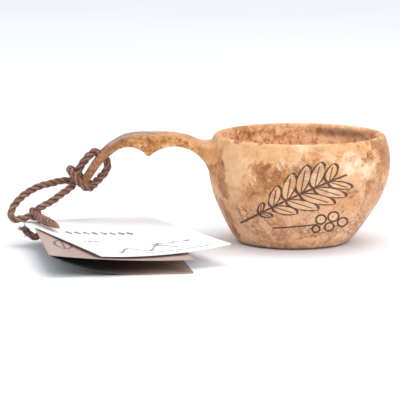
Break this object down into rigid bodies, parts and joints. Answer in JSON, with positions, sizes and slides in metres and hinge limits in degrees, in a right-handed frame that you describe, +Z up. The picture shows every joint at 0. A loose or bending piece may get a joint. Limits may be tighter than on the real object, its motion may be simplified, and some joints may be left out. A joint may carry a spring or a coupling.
{
  "type": "wooden drinking cup",
  "caption": "Carved burl-wood drinking cup with a curved handle scalloped for the fingers, a twine lanyard hitched through it, a hang card and a folded booklet.",
  "frame": {"origin": "centre of the bowl's flat base, on the surface it stands on", "axes": "+Z up, -X from the bowl along the handle to its tip, +X away from the handle"},
  "size_m": [0.208, 0.1584, 0.0592],
  "materials": {
    "burl_wood": "oiled, satin, mottled tan and brown burl",
    "twine": "rough three-strand twine",
    "twine_end": "frayed golden fibres",
    "white_card": "smooth matte board with grey print",
    "kraft_board": "matte kraft board"
  },
  "bodies": {
    "cup": {"cup": "burl_wood", "cord_hitch": "twine"},
    "lanyard": {"cord_loop": "twine", "cord_knot": "twine", "cord_tail": "twine_end", "cord_stopper": "twine"},
    "card": {"card": "white_card"},
    "booklet_upper": {"leaf_upper": "kraft_board"},
    "booklet_lower": {"leaf_lower": "kraft_board"}
  },
  "joints": [
    {"name": "lanyard_swing", "type": "hinge", "parent": "cup", "child": "lanyard", "pos_m": [-0.125, -0.002, 0.031], "axis": [0, 0, 1], "range_deg": [-20, 8]},
    {"name": "card_turn", "type": "hinge", "parent": "lanyard", "child": "card", "pos_m": [-0.136, -0.019, 0.0125], "axis": [0, 0, 1], "range_deg": [-3, 12]},
    {"name": "booklet_turn", "type": "hinge", "parent": "lanyard", "child": "booklet_upper", "pos_m": [-0.136, -0.019, 0.0105], "axis": [0, 0, 1], "range_deg": [-25, 3]},
    {"name": "booklet_open", "type": "hinge", "parent": "booklet_upper", "child": "booklet_lower", "pos_m": [-0.14075, -0.01972, 0.0115], "axis": [-0.1495, 0.9888, 0], "range_deg": [-4.5, 18]}
  ]
}
